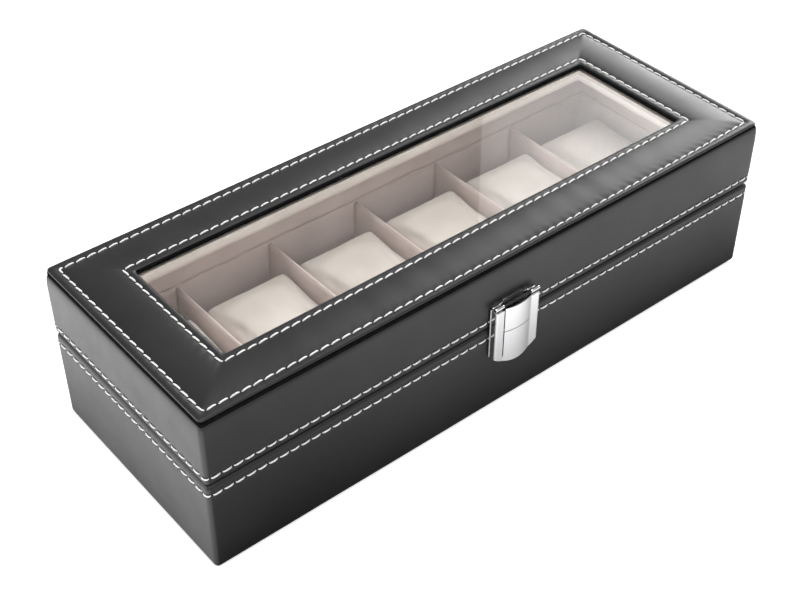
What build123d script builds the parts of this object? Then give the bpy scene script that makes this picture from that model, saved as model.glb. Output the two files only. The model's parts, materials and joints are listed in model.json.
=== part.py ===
from build123d import *
import os

# Watch box for six watches: a leather-covered base, six lift-out pillows, a windowed lid
# on two rear hinges and a flap latch at the front.
#
# Millimetres.  The origin is the middle of the underside.  X runs along the box, the latch
# is on the -Y side, the hinges are on the +Y side, and Z is up.

# ---- driving dimensions -------------------------------------------------------------

LENGTH = 300.0
WIDTH = 112.0
HEIGHT = 80.0
CORNER_RADIUS = 3.0

LEATHER = 1.0
LINING = 1.2
END_WALL = 6.0
SIDE_WALL = 8.0

BASE_RIM = 45.7
LID_RIM = 46.0

RIM_ROUND = 0.8
FOOT_ROUND = 0.9

COVER = 0.6
COVER_INSET = 3.0
COVER_RADIUS = 2.0
FLOOR_BOARD = 3.0
FLOOR_LINING = 1.0
TURNED_EDGE = 14.0

SLOTS = 6
SLOT_PITCH = 48.0
DIVIDER = 2.4
DIVIDER_TOP = 45.0
DIVIDER_ROUND = 0.9

PILLOW_WIDTH = 43.6
PILLOW_LENGTH = 70.0
PILLOW_HEIGHT = 36.0
PILLOW_GAP = 0.3
PILLOW_END_RADIUS = 6.0
PILLOW_TOP_RADIUS = 9.0
PILLOW_BOTTOM_RADIUS = 4.0

TOP_BOARD = 3.0
STIFFENER = 0.8
FOAM = 1.0
LIP_INSET = 0.9
LIP_ROUND = 0.9
SKIRT_GROOVE = 1.4

WINDOW_LENGTH = 244.6
WINDOW_WIDTH = 61.4
WINDOW_RADIUS = 1.5
GLASS = 2.0
GLASS_LENGTH = 252.0
GLASS_WIDTH = 68.8
GLASS_CLEARANCE = 0.4
RETAINER_DEPTH = 6.0
RETAINER_LENGTH = 243.8
RETAINER_WIDTH = 60.6
RETAINER_RADIUS = 0.8
RETAINER_ROUND = 0.7

THREAD = 0.9
THREAD_SUNK = 0.4
THREAD_PROUD = 0.15
THREAD_CORNER = 1.5
BASE_STITCH_Z = 41.0
SKIRT_STITCH_Z = 50.0
OUTER_STITCH_INSET = 4.8
INNER_STITCH_LENGTH = 252.2
INNER_STITCH_WIDTH = 69.2

HINGE_X = 95.0
HINGE_WIDTH = 30.0
HINGE_AXIS_Y = 58.0
HINGE_AXIS_Z = (BASE_RIM + LID_RIM) / 2
HINGE_BARREL = 1.75
HINGE_PIN = 0.8
HINGE_RUNNING_FIT = 0.05
HINGE_KNUCKLE_END = 4.8
HINGE_KNUCKLE_GAP = 0.4
HINGE_LEAF_INNER_Y = 49.6
SCREW_SPACING = 18.0
SCREW_Y = 52.4
SCREW_SHANK = 1.0
SCREW_HEAD = 1.7
SCREW_HEAD_HEIGHT = 0.7
SCREW_LENGTH = 10.0

LATCH_AXIS_Y = -58.9
LATCH_AXIS_Z = 57.9
LATCH_BARREL = 1.05
LATCH_PIN = 0.6
LATCH_RUNNING_FIT = 0.05
LATCH_SHEET = 0.8
LATCH_WEB_HALF = 0.9

FLAP_WIDTH = 24.4
FLAP_FRONT_Y = -60.0
FLAP_BACK_Y = -56.5
FLAP_TOP = 57.3
FLAP_PANEL_TOP = 56.6
FLAP_CORNER_Z = 31.4
FLAP_BOTTOM = 27.0
FLAP_BOW = 1.0
FLAP_PANEL_HALF = 6.9
FLAP_GROOVE_HALF = 7.9
FLAP_GROOVE_DEPTH = 0.45
FLAP_SLIT_Z = 44.4
FLAP_SLIT = 0.5
FLAP_KNUCKLE_INNER = 6.2
PLATE_HALF = 11.1
PLATE_BOTTOM = 51.2
PLATE_TOP = 57.5
PLATE_KNUCKLE_HALF = 5.6
TONGUE_HALF = 3.2
TONGUE_SHEET = 0.45
TONGUE_BOTTOM = 33.0
TONGUE_TOP = 52.0
CATCH_HALF = 9.0
CATCH_BOTTOM = 31.8
CATCH_TOP = 39.9
LUG_HALF = 3.5
LUG_BOTTOM = 34.5
LUG_TOP = 37.5
LUG_REACH = 1.6
RIVET_SHANK = 0.8
RIVET_HEAD = 1.4
RIVET_HEAD_HEIGHT = 0.4
RIVET_DEPTH = 4.0
PLATE_RIVET_X = 8.0
PLATE_RIVET_Z = 54.0
CATCH_RIVET_X = 6.5
CATCH_RIVET_Z = 36.0

# ---- outlines and levels worked out from them: (length, width, corner radius) ---------

OUTER = (LENGTH, WIDTH, CORNER_RADIUS)
CARCASS = (LENGTH - 2 * LEATHER, WIDTH - 2 * LEATHER, CORNER_RADIUS - LEATHER)
LINED = (LENGTH - 2 * END_WALL, WIDTH - 2 * SIDE_WALL, 0)
CAVITY = (LINED[0] + 2 * LINING, LINED[1] + 2 * LINING, 0)
TURNED = (LENGTH - 2 * TURNED_EDGE, WIDTH - 2 * TURNED_EDGE, 0)
COVER_OUTLINE = (LENGTH - 2 * COVER_INSET, WIDTH - 2 * COVER_INSET, COVER_RADIUS)
LIP = (LENGTH - 2 * LIP_INSET, WIDTH - 2 * LIP_INSET, CORNER_RADIUS - LIP_INSET)
LIP_INSIDE = (LIP[0] - 2 * LEATHER, LIP[1] - 2 * LEATHER, LIP[2] - LEATHER)
WINDOW = (WINDOW_LENGTH, WINDOW_WIDTH, WINDOW_RADIUS)
WINDOW_BOARD = (WINDOW_LENGTH + 2 * LEATHER, WINDOW_WIDTH + 2 * LEATHER, WINDOW_RADIUS)
PANE = (GLASS_LENGTH, GLASS_WIDTH, 0)
PANE_OPENING = (GLASS_LENGTH + GLASS_CLEARANCE, GLASS_WIDTH + GLASS_CLEARANCE, 0)
RETAINER_OPENING = (RETAINER_LENGTH, RETAINER_WIDTH, RETAINER_RADIUS)

CARCASS_BOTTOM = COVER + LEATHER
FLOOR_TOP = CARCASS_BOTTOM + FLOOR_BOARD
LINING_TOP = FLOOR_TOP + FLOOR_LINING
BASE_CARCASS_TOP = BASE_RIM - LEATHER
LID_CARCASS_BOTTOM = LID_RIM + LEATHER
PANEL_BOTTOM = HEIGHT - LEATHER - FOAM - STIFFENER
TOP_BOARD_BOTTOM = PANEL_BOTTOM - TOP_BOARD
GLASS_BOTTOM = PANEL_BOTTOM - GLASS
SKIRT_TOP = PANEL_BOTTOM - SKIRT_GROOVE
RETAINER_BOTTOM = GLASS_BOTTOM - RETAINER_DEPTH
WALL_Y = -WIDTH / 2
SLOT_CENTRES = [SLOT_PITCH * (i - (SLOTS - 1) / 2) for i in range(SLOTS)]
DIVIDER_CENTRES = [SLOT_PITCH * (i - SLOTS / 2) for i in range(1, SLOTS)]
HINGES = {"left": -HINGE_X, "right": HINGE_X}
SCREW_XS = [x + side * SCREW_SPACING / 2 for x in HINGES.values() for side in (-1, 1)]
PLATE_FACE_Y = WALL_Y - LATCH_SHEET
FLAP_HALF = FLAP_WIDTH / 2

os.makedirs("parts", exist_ok=True)

# ---- shapes used by several pieces ----------------------------------------------------


def outline(size, mode=Mode.ADD):
    """Rectangle of a (length, width, corner radius) outline, in the open sketch."""
    length, width, radius = size
    if radius > 0:
        RectangleRounded(length, width, radius, mode=mode)
    else:
        Rectangle(length, width, mode=mode)


def slab(size, bottom, top, mode=Mode.ADD):
    """Outline filled between two levels, in the open part."""
    with BuildSketch(Plane.XY.offset(bottom)) as section:
        outline(size)
    extrude(section.sketch, amount=top - bottom, mode=mode)


def ring(outer, inner, bottom, top, mode=Mode.ADD):
    """Wall between two outlines and two levels, in the open part."""
    with BuildSketch(Plane.XY.offset(bottom)) as section:
        outline(outer)
        outline(inner, mode=Mode.SUBTRACT)
    extrude(section.sketch, amount=top - bottom, mode=mode)


def brick(x_range, y_range, z_range, mode=Mode.ADD):
    """Block between two corners, in the open part."""
    centre_x = sum(x_range) / 2
    centre_y = sum(y_range) / 2
    with BuildSketch(Plane.XY.offset(z_range[0])) as section:
        with Locations((centre_x, centre_y)):
            Rectangle(x_range[1] - x_range[0], y_range[1] - y_range[0])
    extrude(section.sketch, amount=z_range[1] - z_range[0], mode=mode)


def rod_x(x_range, y, z, radius, mode=Mode.ADD):
    """Round bar along X, in the open part."""
    plane = Plane(origin=(x_range[0], y, z), x_dir=(0, 1, 0), z_dir=(1, 0, 0))
    with BuildSketch(plane) as section:
        Circle(radius)
    extrude(section.sketch, amount=x_range[1] - x_range[0], mode=mode)


def rod_y(x, y_range, z, radius, mode=Mode.ADD):
    """Round bar along Y, in the open part."""
    plane = Plane(origin=(x, y_range[0], z), x_dir=(1, 0, 0), z_dir=(0, 1, 0))
    with BuildSketch(plane) as section:
        Circle(radius)
    extrude(section.sketch, amount=y_range[1] - y_range[0], mode=mode)


def screw(x, face, down, mode=Mode.ADD):
    """Countersunk screw whose head is flush with a hinge leaf; down is -1 or 1 along Z."""
    into = Vector(0, 0, down)
    with BuildSketch(Plane(origin=(x, SCREW_Y, face), x_dir=(1, 0, 0), z_dir=into)) as head:
        Circle(SCREW_HEAD)
    with BuildSketch(
        Plane(
            origin=(x, SCREW_Y, face + down * SCREW_HEAD_HEIGHT),
            x_dir=(1, 0, 0),
            z_dir=into,
        )
    ) as neck:
        Circle(SCREW_SHANK)
    loft([head.sketch.face(), neck.sketch.face()], mode=mode)
    extrude(neck.sketch, amount=SCREW_LENGTH - SCREW_HEAD_HEIGHT, mode=mode)


def rivet(x, z, mode=Mode.ADD):
    """Rivet through a latch fitting into the front wall, with a low round head."""
    rod_y(x, (PLATE_FACE_Y - RIVET_HEAD_HEIGHT, PLATE_FACE_Y), z, RIVET_HEAD, mode)
    rod_y(x, (PLATE_FACE_Y, PLATE_FACE_Y + RIVET_DEPTH), z, RIVET_SHANK, mode)


def wall_thread(z, outer_shift, inner_shift):
    """Outlines of a thread line's outer and inner faces round the walls."""
    grown = tuple(v + 2 * outer_shift for v in OUTER[:2]) + (CORNER_RADIUS + outer_shift,)
    sunk = tuple(v - 2 * inner_shift for v in OUTER[:2]) + (CORNER_RADIUS - inner_shift,)
    return grown, sunk, z - THREAD / 2, z + THREAD / 2


def top_thread(length, width):
    """Outlines of a thread line's outer and inner edges on the top frame."""
    outer = (length + THREAD, width + THREAD, THREAD_CORNER + THREAD / 2)
    inner = (length - THREAD, width - THREAD, THREAD_CORNER - THREAD / 2)
    return outer, inner


BASE_THREAD = wall_thread(BASE_STITCH_Z, THREAD_PROUD, THREAD_SUNK)
BASE_THREAD_GROOVE = wall_thread(BASE_STITCH_Z, THREAD, THREAD_SUNK)
SKIRT_THREAD = wall_thread(SKIRT_STITCH_Z, THREAD_PROUD, THREAD_SUNK)
SKIRT_THREAD_GROOVE = wall_thread(SKIRT_STITCH_Z, THREAD, THREAD_SUNK)
OUTER_THREAD = top_thread(LENGTH - 2 * OUTER_STITCH_INSET, WIDTH - 2 * OUTER_STITCH_INSET)
INNER_THREAD = top_thread(INNER_STITCH_LENGTH, INNER_STITCH_WIDTH)
TOP_THREAD_BOTTOM = HEIGHT - THREAD_SUNK - THREAD_PROUD
TOP_THREAD_TOP = HEIGHT - THREAD_PROUD

# ---- base -----------------------------------------------------------------------------

with BuildPart() as bottom_cover:
    slab(COVER_OUTLINE, 0, COVER)
    slab(TURNED, COVER, CARCASS_BOTTOM)
bottom_cover.part.label = "bottom_cover"
export_step(bottom_cover.part, "parts/bottom_cover.step")

with BuildPart() as base_carcass:
    ring(CARCASS, CAVITY, CARCASS_BOTTOM, BASE_CARCASS_TOP)
    slab(CAVITY, CARCASS_BOTTOM, FLOOR_TOP)
    for screw_x in SCREW_XS:
        screw(screw_x, BASE_RIM, -1, Mode.SUBTRACT)
    for side in (-1, 1):
        rivet(side * CATCH_RIVET_X, CATCH_RIVET_Z, Mode.SUBTRACT)
base_carcass.part.label = "base_carcass"
export_step(base_carcass.part, "parts/base_carcass.step")

with BuildPart() as base_leather:
    ring(OUTER, CARCASS, COVER, BASE_RIM)
    ring(OUTER, TURNED, COVER, CARCASS_BOTTOM)
    ring(OUTER, CAVITY, BASE_CARCASS_TOP, BASE_RIM)
    top_edges = base_leather.faces().sort_by(Axis.Z)[-1].outer_wire().edges()
    fillet(top_edges, radius=RIM_ROUND)
    bottom_edges = base_leather.faces().sort_by(Axis.Z)[0].outer_wire().edges()
    fillet(bottom_edges, radius=FOOT_ROUND)
    ring(*BASE_THREAD_GROOVE, mode=Mode.SUBTRACT)
    for hinge_x in HINGES.values():
        brick(
            (hinge_x - HINGE_WIDTH / 2, hinge_x + HINGE_WIDTH / 2),
            (HINGE_LEAF_INNER_Y, WIDTH / 2 + 1),
            (BASE_CARCASS_TOP, BASE_RIM),
            Mode.SUBTRACT,
        )
    for side in (-1, 1):
        rivet(side * CATCH_RIVET_X, CATCH_RIVET_Z, Mode.SUBTRACT)
base_leather.part.label = "base_leather"
export_step(base_leather.part, "parts/base_leather.step")

with BuildPart() as base_stitching:
    ring(*BASE_THREAD)
base_stitching.part.label = "base_stitching"
export_step(base_stitching.part, "parts/base_stitching.step")

with BuildPart() as base_lining:
    slab(CAVITY, FLOOR_TOP, LINING_TOP)
    ring(CAVITY, LINED, LINING_TOP, BASE_CARCASS_TOP)
base_lining.part.label = "base_lining"
export_step(base_lining.part, "parts/base_lining.step")

for number, centre in enumerate(DIVIDER_CENTRES, start=1):
    with BuildPart() as divider:
        brick(
            (centre - DIVIDER / 2, centre + DIVIDER / 2),
            (-LINED[1] / 2, LINED[1] / 2),
            (LINING_TOP, DIVIDER_TOP),
        )
        top_edges = divider.faces().sort_by(Axis.Z)[-1].edges().filter_by(Axis.Y)
        fillet(top_edges, radius=DIVIDER_ROUND)
    divider.part.label = f"divider_{number}"
    export_step(divider.part, f"parts/divider_{number}.step")

# ---- pillows --------------------------------------------------------------------------

for number, centre in enumerate(SLOT_CENTRES, start=1):
    pillow_bottom = LINING_TOP + PILLOW_GAP
    with BuildPart() as pillow:
        brick(
            (centre - PILLOW_WIDTH / 2, centre + PILLOW_WIDTH / 2),
            (-PILLOW_LENGTH / 2, PILLOW_LENGTH / 2),
            (pillow_bottom, pillow_bottom + PILLOW_HEIGHT),
        )
        fillet(pillow.edges().filter_by(Axis.Z), radius=PILLOW_END_RADIUS)
        fillet(pillow.faces().sort_by(Axis.Z)[-1].edges(), radius=PILLOW_TOP_RADIUS)
        fillet(pillow.faces().sort_by(Axis.Z)[0].edges(), radius=PILLOW_BOTTOM_RADIUS)
    pillow.part.label = f"pillow_{number}"
    export_step(pillow.part, f"parts/pillow_{number}.step")

# ---- lid ------------------------------------------------------------------------------

with BuildPart() as lid_carcass:
    ring(CARCASS, CAVITY, LID_CARCASS_BOTTOM, PANEL_BOTTOM)
    ring(CAVITY, PANE_OPENING, TOP_BOARD_BOTTOM, PANEL_BOTTOM)
    for screw_x in SCREW_XS:
        screw(screw_x, LID_RIM, 1, Mode.SUBTRACT)
    for side in (-1, 1):
        rivet(side * PLATE_RIVET_X, PLATE_RIVET_Z, Mode.SUBTRACT)
lid_carcass.part.label = "lid_carcass"
export_step(lid_carcass.part, "parts/lid_carcass.step")

with BuildPart() as lid_skirt_leather:
    ring(OUTER, CARCASS, LID_RIM, SKIRT_TOP)
    ring(OUTER, CAVITY, LID_RIM, LID_CARCASS_BOTTOM)
    rim_edges = lid_skirt_leather.faces().sort_by(Axis.Z)[0].outer_wire().edges()
    fillet(rim_edges, radius=RIM_ROUND)
    ring(*SKIRT_THREAD_GROOVE, mode=Mode.SUBTRACT)
    for hinge_x in HINGES.values():
        brick(
            (hinge_x - HINGE_WIDTH / 2, hinge_x + HINGE_WIDTH / 2),
            (HINGE_LEAF_INNER_Y, WIDTH / 2 + 1),
            (LID_RIM, LID_CARCASS_BOTTOM),
            Mode.SUBTRACT,
        )
    for side in (-1, 1):
        rivet(side * PLATE_RIVET_X, PLATE_RIVET_Z, Mode.SUBTRACT)
lid_skirt_leather.part.label = "lid_skirt_leather"
export_step(lid_skirt_leather.part, "parts/lid_skirt_leather.step")

with BuildPart() as lid_skirt_stitching:
    ring(*SKIRT_THREAD)
lid_skirt_stitching.part.label = "lid_skirt_stitching"
export_step(lid_skirt_stitching.part, "parts/lid_skirt_stitching.step")

with BuildPart() as lid_top_board:
    ring(LIP_INSIDE, WINDOW_BOARD, PANEL_BOTTOM, PANEL_BOTTOM + STIFFENER)
lid_top_board.part.label = "lid_top_board"
export_step(lid_top_board.part, "parts/lid_top_board.step")

with BuildPart() as lid_top_foam:
    ring(LIP_INSIDE, WINDOW_BOARD, PANEL_BOTTOM + STIFFENER, HEIGHT - LEATHER)
lid_top_foam.part.label = "lid_top_foam"
export_step(lid_top_foam.part, "parts/lid_top_foam.step")

with BuildPart() as lid_top_leather:
    ring(LIP, WINDOW, PANEL_BOTTOM, HEIGHT)
    crown_face = lid_top_leather.faces().sort_by(Axis.Z)[-1]
    fillet(crown_face.outer_wire().edges(), radius=LIP_ROUND)
    crown_face = lid_top_leather.faces().sort_by(Axis.Z)[-1]
    fillet(crown_face.inner_wires()[0].edges(), radius=LIP_ROUND)
    ring(LIP_INSIDE, WINDOW_BOARD, PANEL_BOTTOM, HEIGHT - LEATHER, mode=Mode.SUBTRACT)
    for thread in (OUTER_THREAD, INNER_THREAD):
        ring(*thread, TOP_THREAD_BOTTOM, HEIGHT, mode=Mode.SUBTRACT)
lid_top_leather.part.label = "lid_top_leather"
export_step(lid_top_leather.part, "parts/lid_top_leather.step")

with BuildPart() as lid_outer_stitching:
    ring(*OUTER_THREAD, TOP_THREAD_BOTTOM, TOP_THREAD_TOP)
lid_outer_stitching.part.label = "lid_outer_stitching"
export_step(lid_outer_stitching.part, "parts/lid_outer_stitching.step")

with BuildPart() as lid_inner_stitching:
    ring(*INNER_THREAD, TOP_THREAD_BOTTOM, TOP_THREAD_TOP)
lid_inner_stitching.part.label = "lid_inner_stitching"
export_step(lid_inner_stitching.part, "parts/lid_inner_stitching.step")

with BuildPart() as window_glass:
    slab(PANE, GLASS_BOTTOM, PANEL_BOTTOM)
window_glass.part.label = "window_glass"
export_step(window_glass.part, "parts/window_glass.step")

with BuildPart() as window_retainer:
    ring(PANE, RETAINER_OPENING, RETAINER_BOTTOM, GLASS_BOTTOM)
    fillet(window_retainer.faces().sort_by(Axis.Z)[0].edges(), radius=RETAINER_ROUND)
window_retainer.part.label = "window_retainer"
export_step(window_retainer.part, "parts/window_retainer.step")

with BuildPart() as lid_lining:
    ring(CAVITY, LINED, LID_CARCASS_BOTTOM, TOP_BOARD_BOTTOM)
    ring(LINED, PANE_OPENING, TOP_BOARD_BOTTOM - LINING, TOP_BOARD_BOTTOM)
lid_lining.part.label = "lid_lining"
export_step(lid_lining.part, "parts/lid_lining.step")

# ---- rear hinges ----------------------------------------------------------------------

for name, hinge_x in HINGES.items():
    leaf_x = (hinge_x - HINGE_WIDTH / 2, hinge_x + HINGE_WIDTH / 2)
    leaf_y = (HINGE_LEAF_INNER_Y, WIDTH / 2)
    web_y = (WIDTH / 2, HINGE_AXIS_Y)
    middle = HINGE_KNUCKLE_END
    outer_knuckles = [
        (leaf_x[0], hinge_x - middle - HINGE_KNUCKLE_GAP),
        (hinge_x + middle + HINGE_KNUCKLE_GAP, leaf_x[1]),
    ]
    screws = [x for x in SCREW_XS if leaf_x[0] < x < leaf_x[1]]

    with BuildPart() as base_leaf:
        brick(leaf_x, leaf_y, (BASE_CARCASS_TOP, BASE_RIM))
        for knuckle in outer_knuckles:
            brick(knuckle, web_y, (BASE_CARCASS_TOP, BASE_RIM))
            rod_x(knuckle, HINGE_AXIS_Y, HINGE_AXIS_Z, HINGE_BARREL)
        rod_x(leaf_x, HINGE_AXIS_Y, HINGE_AXIS_Z, HINGE_PIN, Mode.SUBTRACT)
        for screw_x in screws:
            screw(screw_x, BASE_RIM, -1, Mode.SUBTRACT)
    base_leaf.part.label = f"{name}_hinge_base_leaf"
    export_step(base_leaf.part, f"parts/{name}_hinge_base_leaf.step")

    with BuildPart() as lid_leaf:
        brick(leaf_x, leaf_y, (LID_RIM, LID_CARCASS_BOTTOM))
        knuckle = (hinge_x - middle, hinge_x + middle)
        brick(knuckle, web_y, (LID_RIM, LID_CARCASS_BOTTOM))
        rod_x(knuckle, HINGE_AXIS_Y, HINGE_AXIS_Z, HINGE_BARREL)
        bore = HINGE_PIN + HINGE_RUNNING_FIT
        rod_x(leaf_x, HINGE_AXIS_Y, HINGE_AXIS_Z, bore, Mode.SUBTRACT)
        for screw_x in screws:
            screw(screw_x, LID_RIM, 1, Mode.SUBTRACT)
    lid_leaf.part.label = f"{name}_hinge_lid_leaf"
    export_step(lid_leaf.part, f"parts/{name}_hinge_lid_leaf.step")

    with BuildPart() as hinge_pin:
        rod_x(leaf_x, HINGE_AXIS_Y, HINGE_AXIS_Z, HINGE_PIN)
    hinge_pin.part.label = f"{name}_hinge_pin"
    export_step(hinge_pin.part, f"parts/{name}_hinge_pin.step")

with BuildPart() as hinge_base_screws:
    for screw_x in SCREW_XS:
        screw(screw_x, BASE_RIM, -1)
hinge_base_screws.part.label = "hinge_base_screws"
export_step(hinge_base_screws.part, "parts/hinge_base_screws.step")

with BuildPart() as hinge_lid_screws:
    for screw_x in SCREW_XS:
        screw(screw_x, LID_RIM, 1)
hinge_lid_screws.part.label = "hinge_lid_screws"
export_step(hinge_lid_screws.part, "parts/hinge_lid_screws.step")

# ---- latch ----------------------------------------------------------------------------

with BuildPart() as latch_plate:
    brick((-PLATE_HALF, PLATE_HALF), (PLATE_FACE_Y, WALL_Y), (PLATE_BOTTOM, PLATE_TOP))
    knuckle_x = (-PLATE_KNUCKLE_HALF, PLATE_KNUCKLE_HALF)
    knuckle_z = (LATCH_AXIS_Z - LATCH_WEB_HALF, LATCH_AXIS_Z + LATCH_WEB_HALF)
    brick(knuckle_x, (PLATE_FACE_Y, WALL_Y), (PLATE_TOP, knuckle_z[1]))
    brick(knuckle_x, (LATCH_AXIS_Y, PLATE_FACE_Y), knuckle_z)
    rod_x(knuckle_x, LATCH_AXIS_Y, LATCH_AXIS_Z, LATCH_BARREL)
    rod_x(knuckle_x, LATCH_AXIS_Y, LATCH_AXIS_Z, LATCH_PIN, Mode.SUBTRACT)
    for side in (-1, 1):
        rivet(side * PLATE_RIVET_X, PLATE_RIVET_Z, Mode.SUBTRACT)
latch_plate.part.label = "latch_plate"
export_step(latch_plate.part, "parts/latch_plate.step")

with BuildPart() as latch_plate_rivets:
    for side in (-1, 1):
        rivet(side * PLATE_RIVET_X, PLATE_RIVET_Z)
latch_plate_rivets.part.label = "latch_plate_rivets"
export_step(latch_plate_rivets.part, "parts/latch_plate_rivets.step")

with BuildPart() as latch_pin:
    rod_x((-FLAP_HALF, FLAP_HALF), LATCH_AXIS_Y, LATCH_AXIS_Z, LATCH_PIN)
latch_pin.part.label = "latch_pin"
export_step(latch_pin.part, "parts/latch_pin.step")

with BuildPart() as latch_flap:
    # Plan section: two flanges, two grooves and a panel that bows out between them.
    groove_y = FLAP_FRONT_Y + FLAP_GROOVE_DEPTH
    inside_y = FLAP_FRONT_Y + LATCH_SHEET
    inside_x = FLAP_HALF - LATCH_SHEET
    with BuildSketch(Plane.XY.offset(FLAP_BOTTOM)):
        with BuildLine():
            Polyline(
                (-FLAP_PANEL_HALF, FLAP_FRONT_Y),
                (-FLAP_PANEL_HALF, groove_y),
                (-FLAP_GROOVE_HALF, groove_y),
                (-FLAP_GROOVE_HALF, FLAP_FRONT_Y),
                (-FLAP_HALF, FLAP_FRONT_Y),
                (-FLAP_HALF, FLAP_BACK_Y),
                (-inside_x, FLAP_BACK_Y),
                (-inside_x, inside_y),
                (inside_x, inside_y),
                (inside_x, FLAP_BACK_Y),
                (FLAP_HALF, FLAP_BACK_Y),
                (FLAP_HALF, FLAP_FRONT_Y),
                (FLAP_GROOVE_HALF, FLAP_FRONT_Y),
                (FLAP_GROOVE_HALF, groove_y),
                (FLAP_PANEL_HALF, groove_y),
                (FLAP_PANEL_HALF, FLAP_FRONT_Y),
            )
            ThreePointArc(
                (FLAP_PANEL_HALF, FLAP_FRONT_Y),
                (0, FLAP_FRONT_Y - FLAP_BOW),
                (-FLAP_PANEL_HALF, FLAP_FRONT_Y),
            )
        make_face()
    extrude(amount=FLAP_TOP - FLAP_BOTTOM)
    # Front outline: the lower edge is one shallow arc.
    with BuildSketch(Plane(origin=(0, WALL_Y, 0), x_dir=(1, 0, 0), z_dir=(0, -1, 0))):
        with BuildLine():
            Polyline(
                (FLAP_HALF, FLAP_CORNER_Z),
                (FLAP_HALF, FLAP_TOP),
                (-FLAP_HALF, FLAP_TOP),
                (-FLAP_HALF, FLAP_CORNER_Z),
            )
            ThreePointArc(
                (-FLAP_HALF, FLAP_CORNER_Z),
                (0, FLAP_BOTTOM),
                (FLAP_HALF, FLAP_CORNER_Z),
            )
        make_face()
    extrude(amount=FLAP_WIDTH, both=True, mode=Mode.INTERSECT)
    brick(
        (-FLAP_PANEL_HALF, FLAP_PANEL_HALF),
        (FLAP_FRONT_Y - FLAP_BOW, FLAP_FRONT_Y),
        (FLAP_SLIT_Z - FLAP_SLIT / 2, FLAP_SLIT_Z + FLAP_SLIT / 2),
        Mode.SUBTRACT,
    )
    brick(
        (-FLAP_KNUCKLE_INNER, FLAP_KNUCKLE_INNER),
        (FLAP_FRONT_Y - FLAP_BOW, inside_y),
        (FLAP_PANEL_TOP, FLAP_TOP),
        Mode.SUBTRACT,
    )
    # Ears at the top, rolled round the pin.
    bore = LATCH_PIN + LATCH_RUNNING_FIT
    for ear in ((-FLAP_HALF, -FLAP_KNUCKLE_INNER), (FLAP_KNUCKLE_INNER, FLAP_HALF)):
        rod_x(ear, LATCH_AXIS_Y, LATCH_AXIS_Z, LATCH_BARREL)
        brick(ear, (FLAP_FRONT_Y, LATCH_AXIS_Y), (FLAP_TOP - LATCH_SHEET, FLAP_TOP))
    rod_x((-FLAP_HALF, FLAP_HALF), LATCH_AXIS_Y, LATCH_AXIS_Z, bore, Mode.SUBTRACT)
latch_flap.part.label = "latch_flap"
export_step(latch_flap.part, "parts/latch_flap.step")

with BuildPart() as latch_tongue:
    brick(
        (-TONGUE_HALF, TONGUE_HALF),
        (FLAP_FRONT_Y + LATCH_SHEET, FLAP_FRONT_Y + LATCH_SHEET + TONGUE_SHEET),
        (TONGUE_BOTTOM, TONGUE_TOP),
    )
latch_tongue.part.label = "latch_tongue"
export_step(latch_tongue.part, "parts/latch_tongue.step")

with BuildPart() as latch_catch:
    brick((-CATCH_HALF, CATCH_HALF), (PLATE_FACE_Y, WALL_Y), (CATCH_BOTTOM, CATCH_TOP))
    brick((-LUG_HALF, LUG_HALF), (PLATE_FACE_Y - LUG_REACH, PLATE_FACE_Y), (LUG_BOTTOM, LUG_TOP))
    for side in (-1, 1):
        rivet(side * CATCH_RIVET_X, CATCH_RIVET_Z, Mode.SUBTRACT)
latch_catch.part.label = "latch_catch"
export_step(latch_catch.part, "parts/latch_catch.step")

with BuildPart() as latch_catch_rivets:
    for side in (-1, 1):
        rivet(side * CATCH_RIVET_X, CATCH_RIVET_Z)
latch_catch_rivets.part.label = "latch_catch_rivets"
export_step(latch_catch_rivets.part, "parts/latch_catch_rivets.step")
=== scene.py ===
import json
import math

import bmesh
import bpy
import numpy as np
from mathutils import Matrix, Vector, noise


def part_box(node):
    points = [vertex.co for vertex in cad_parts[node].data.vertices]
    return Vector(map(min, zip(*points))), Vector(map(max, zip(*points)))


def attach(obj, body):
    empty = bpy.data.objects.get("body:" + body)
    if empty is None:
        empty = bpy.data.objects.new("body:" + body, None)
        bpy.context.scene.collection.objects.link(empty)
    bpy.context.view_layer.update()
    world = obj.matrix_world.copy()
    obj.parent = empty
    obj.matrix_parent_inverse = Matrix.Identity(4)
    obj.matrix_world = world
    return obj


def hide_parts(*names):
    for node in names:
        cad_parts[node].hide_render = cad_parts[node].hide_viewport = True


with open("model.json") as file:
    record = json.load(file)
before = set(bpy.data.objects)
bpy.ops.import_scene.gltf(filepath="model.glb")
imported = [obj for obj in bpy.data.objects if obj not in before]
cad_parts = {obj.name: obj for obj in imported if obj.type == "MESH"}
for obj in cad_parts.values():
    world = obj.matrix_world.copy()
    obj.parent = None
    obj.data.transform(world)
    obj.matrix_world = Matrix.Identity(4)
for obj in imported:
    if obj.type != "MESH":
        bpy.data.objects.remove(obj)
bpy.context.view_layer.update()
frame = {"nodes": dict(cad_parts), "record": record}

# Looks of the watch box.  Everything is in metres, in the frame of the CAD model: X along
# the box, the latch on the -Y side, the hinges on the +Y side, Z up.

MM = 0.001

# ---- sizes read from the frame ----


def half(node):
    """Half the length and half the width of a node that is centred on the box."""
    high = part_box(node)[1]
    return high.x, high.y


def heights(node):
    """Lowest and highest level of a node."""
    return [corner.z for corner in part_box(node)]


def grown(size, by):
    """Half length and half width, both made larger by a distance."""
    return size[0] + by, size[1] + by


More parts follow.
